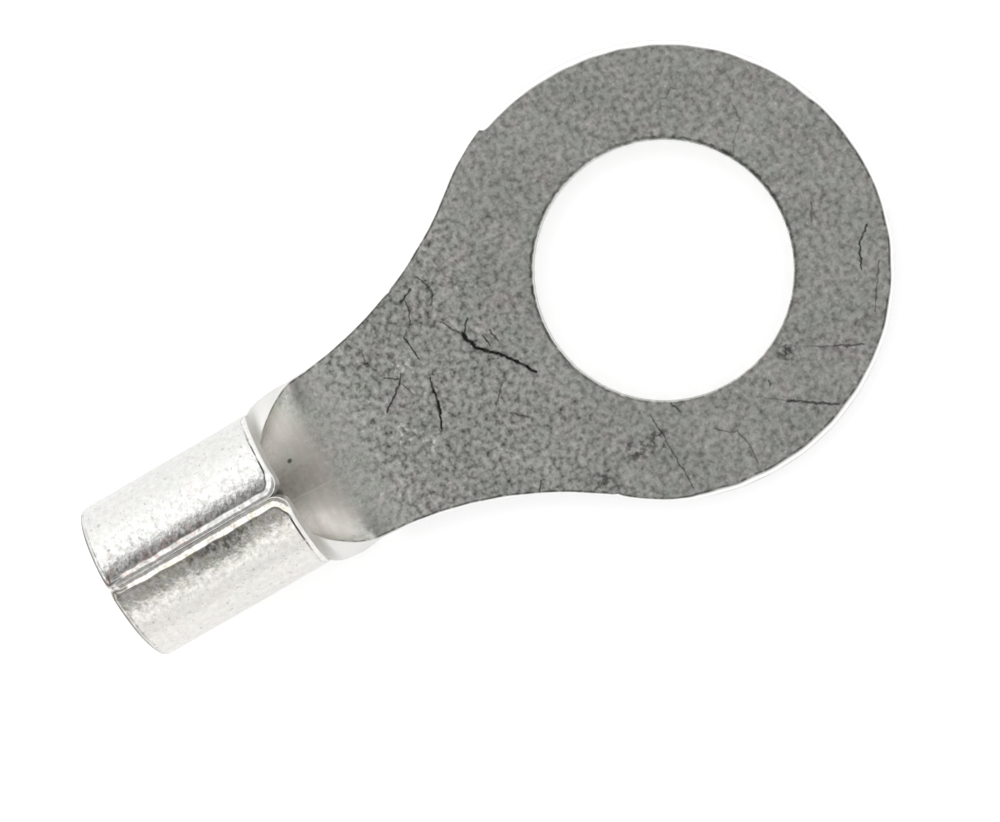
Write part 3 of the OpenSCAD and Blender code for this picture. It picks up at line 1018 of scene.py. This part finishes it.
# the barrel's lighter grey is partly its polish and partly a painted reflection
colour = g.mix(barrel, (0.66, 0.663, 0.622), (0.72, 0.72, 0.70))
colour = g.mix(dull, colour, (0.605, 0.575, 0.535))
# painted shade: one side of the barrel is a little warmer and darker
colour = g.mix(g.mul(g.step(q, -1.0, -4.0), barrel), colour, (0.72, 0.705, 0.675))
colour = g.mix(g.mul(floor_shade_and_tint, 0.7), colour, (0.52, 0.475, 0.435))

seam_edge = g.mul(g.step(seam_at, 1.3, 0.4), g.mul(outer, g.step(broken, 0.45, 0.6)))
reddish = g.mul(g.step(q, -0.2, 0.2), g.mul(g.step(seam_at, 0.6, 0.35), g.step(x, -15.5, -17.0)))
colour = g.mix(g.mul(seam_edge, reddish), colour, (0.70, 0.60, 0.57))
colour = g.mix(g.mul(seam_edge, lower_wing), colour, (0.69, 0.67, 0.57))

tint = g.noise(sheet, 0.9, 5.0, 0.8)
tint_share = g.math("MULTIPLY_ADD", barrel, -0.22, 0.6)          # weaker on the barrel
colour = g.mix(g.mul(g.step(tint, 0.50, 0.68), tint_share), colour, (0.63, 0.68, 0.60))
colour = g.mix(g.mul(g.step(tint, 0.50, 0.32), tint_share), colour, (0.72, 0.665, 0.65))

fresh = g.add(1.0, g.mul(g.rest(faces), 0.1))
strip_highlight = g.mul(g.bell(q, -0.50, 0.05), g.mul(g.step(x, -12.4, -12.8), dull))     # a painted highlight along the lower edge of the neck's dark strip
colour = g.scaled(colour, g.mul(g.mul(tone, marks_and_painted_light), g.math("MULTIPLY_ADD", strip_highlight, 0.18, fresh)))
print("colour:", len(tin.node_tree.nodes), "nodes so far")

# %% Colour of the cut edge
# The cut is painted brightest on the corner that the die dragged over, as a painted highlight, and darker
# on the wall below it and on one side of the piece, as painted shade, with more painted shade in the mouth
# of the seam. On the neck and the barrel the tools have dulled it.
painted_cut_light = g.math("MAXIMUM", g.step(h, 0.88, 0.95, 0.65, 1.0), g.step(q, -4.0, -1.0, 0.0, 0.88))
painted_cut_light = g.mul(painted_cut_light, g.step(h, 0.55, 0.75, 0.7, 1.0))
formed = g.step(x, -10.8, -12.2)
bare = g.mix(formed, (0.92, 0.915, 0.90), (0.74, 0.735, 0.715))
bare = g.scaled(bare, g.math("MAXIMUM", painted_cut_light, formed))
colour = g.mix(cut, colour, g.scaled(bare, keeps(seam_mouth_shade, 0.85)))
print("cut edge:", len(tin.node_tree.nodes), "nodes so far")

# %% [markdown]
# ## Gloss and bumps
#
# How softly a metal mirrors is its roughness: least on the burnished barrel, most on the dull neck. The
# bumps are noise of two sizes, about a hundredth of a millimetre high. They are a Bump node and not real
# height, because they are finer than the mesh.

# %% Gloss and bumps
BUMP_HEIGHT = 1.3e-5     # in metres, as all distances in a shader are

rough = g.math("MULTIPLY_ADD", dull, 0.18, g.math("MULTIPLY_ADD", outer, -0.16, 0.38))
height = g.math("MULTIPLY_ADD", g.noise(sheet, 2.2, 2.0, 0.5), 1.2, g.noise(sheet, 6.5, 3.0, 0.6))
strength = g.math("MULTIPLY_ADD", outer, 0.85, g.math("MULTIPLY_ADD", ironed, -0.35, 0.4))
bump = g.make("ShaderNodeBump", Height=height, Distance=BUMP_HEIGHT, Strength=strength)

shader = tin.node_tree.nodes["Principled BSDF"]
shader.inputs["Metallic"].default_value = 1.0
g.put(shader, "Base Color", colour)
g.put(shader, "Roughness", rough)
g.put(shader, "Normal", bump.outputs["Normal"])
terminal.data.materials.append(tin)
print("tin plate:", len(tin.node_tree.nodes), "nodes")

# %% [markdown]
# ## Floor
#
# The terminal lies on white paper, which should look pure white. More light would do that, but it would
# burn out the metal too. So the paper glows a little, only for the camera and in mirrored light, and it
# still takes the terminal's shadow.

# %% Floor
FLOOR_HALF = 900         # mm
PAPER_GLOW = 0.41        # what the lit paper lacks to be pure white

corners = np.array([[-1, -1, 0], [1, -1, 0], [1, 1, 0], [-1, 1, 0]], float) * FLOOR_HALF
floor = make_mesh("floor", corners, np.array([[0, 1, 2, 3]]))
floor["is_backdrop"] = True
paper = bpy.data.materials.new("white_floor")
paper.use_nodes = True
g = Graph(paper.node_tree)
path = g.make("ShaderNodeLightPath").outputs
seen = g.math("MAXIMUM", path["Is Camera Ray"], path["Is Glossy Ray"])
shader = paper.node_tree.nodes["Principled BSDF"]
shader.inputs["Base Color"].default_value = (0.8, 0.8, 0.8, 1)
shader.inputs["Roughness"].default_value = 0.9
shader.inputs["Emission Color"].default_value = (1, 1, 1, 1)
g.put(shader, "Emission Strength", g.mul(seen, PAPER_GLOW))
floor.data.materials.append(paper)
print("floor:", 2 * FLOOR_HALF, "mm square")

# %% [markdown]
# ## Light tent
#
# Small shiny parts are lit in a tent of white cloth, open at the top where the camera looks in. The flat
# tongue mirrors the darker opening and looks grey, and the round barrel mirrors the bright walls and shows
# white bands. Area lamps would leave hard shapes in the metal. So the world itself is the tent: a strength
# that depends only on the direction, with a soft border round the opening.

# %% Light tent
OPENING = Vector((0.0, -0.055, 1.0)).normalized()        # where the tent is open
OPENING_LIGHT = 0.39

world = bpy.data.worlds.new("light_tent")
bpy.context.scene.world = world
world.use_nodes = True
g = Graph(world.node_tree)
direction = g.make("ShaderNodeTexCoord").outputs["Generated"]
_, across, upward = g.make("ShaderNodeSeparateXYZ", Vector=direction).outputs
walls = g.math("MULTIPLY_ADD", across, 0.15, 1.27)               # one side is a little brighter
walls = g.mul(walls, g.step(upward, 0.0, 0.6, 0.9, 1.04))        # and the cloth is darker near the floor
opening = g.step(g.vector("DOT_PRODUCT", direction, OPENING), 0.765, 0.88)
background = world.node_tree.nodes["Background"]
background.inputs["Color"].default_value = (1, 1, 1, 1)
g.put(background, "Strength", g.blend(opening, walls, OPENING_LIGHT))
print("tent open towards", np.round(OPENING, 3), "within about 35 degrees")

# %% [markdown]
# ## Camera
#
# The camera hangs 16 cm above the terminal, nearly straight over it, and is turned so that the terminal
# lies aslant. A long lens from this distance shows the sides of the barrel but hardly any of the ring's
# edge. A turn about the line of sight is made with a rotation matrix, because three Euler angles would
# have to be guessed.

# %% Camera
EYE = Vector((7.31, -1.832, 159.96)) * MM
AIM = Vector((-6.898, -1.292, 1.0)) * MM
ROLL = 30.1                      # degrees about the line of sight
FOCAL_SHARE = 4.8892             # focal length over the width of the sensor
SENSOR = 36                      # mm

forward = (AIM - EYE).normalized()
right = forward.cross(Vector((0, 1, 0))).normalized()
up = right.cross(forward)
roll = Matrix.Rotation(np.radians(ROLL), 3, forward)
right, up = roll @ right, roll @ up
lens = bpy.data.cameras.new("camera")
lens.sensor_width = SENSOR
lens.lens = FOCAL_SHARE * SENSOR
lens.clip_start = 0.005
camera = bpy.data.objects.new("camera", lens)
camera.matrix_world = Matrix.Translation(EYE) @ Matrix((right, up, -forward)).transposed().to_4x4()
scene = bpy.context.scene
scene.collection.objects.link(camera)
scene.camera = camera
scene.view_settings.view_transform = "Standard"
print("camera", round((AIM - EYE).length / MM), "mm away, focal length", round(lens.lens), "mm")

# %% [markdown]
# ## Finish
#
# The box of the finished model is kept and printed beside the frame's own box, because the looks may not
# change the size.

# %% Finish
visual_box = [list(corner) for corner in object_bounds()]
for title, box in (("cad", CAD_BOX), ("visual", visual_box)):
    print(title, "box in mm:", np.round(np.array(box) / MM, 3).tolist())
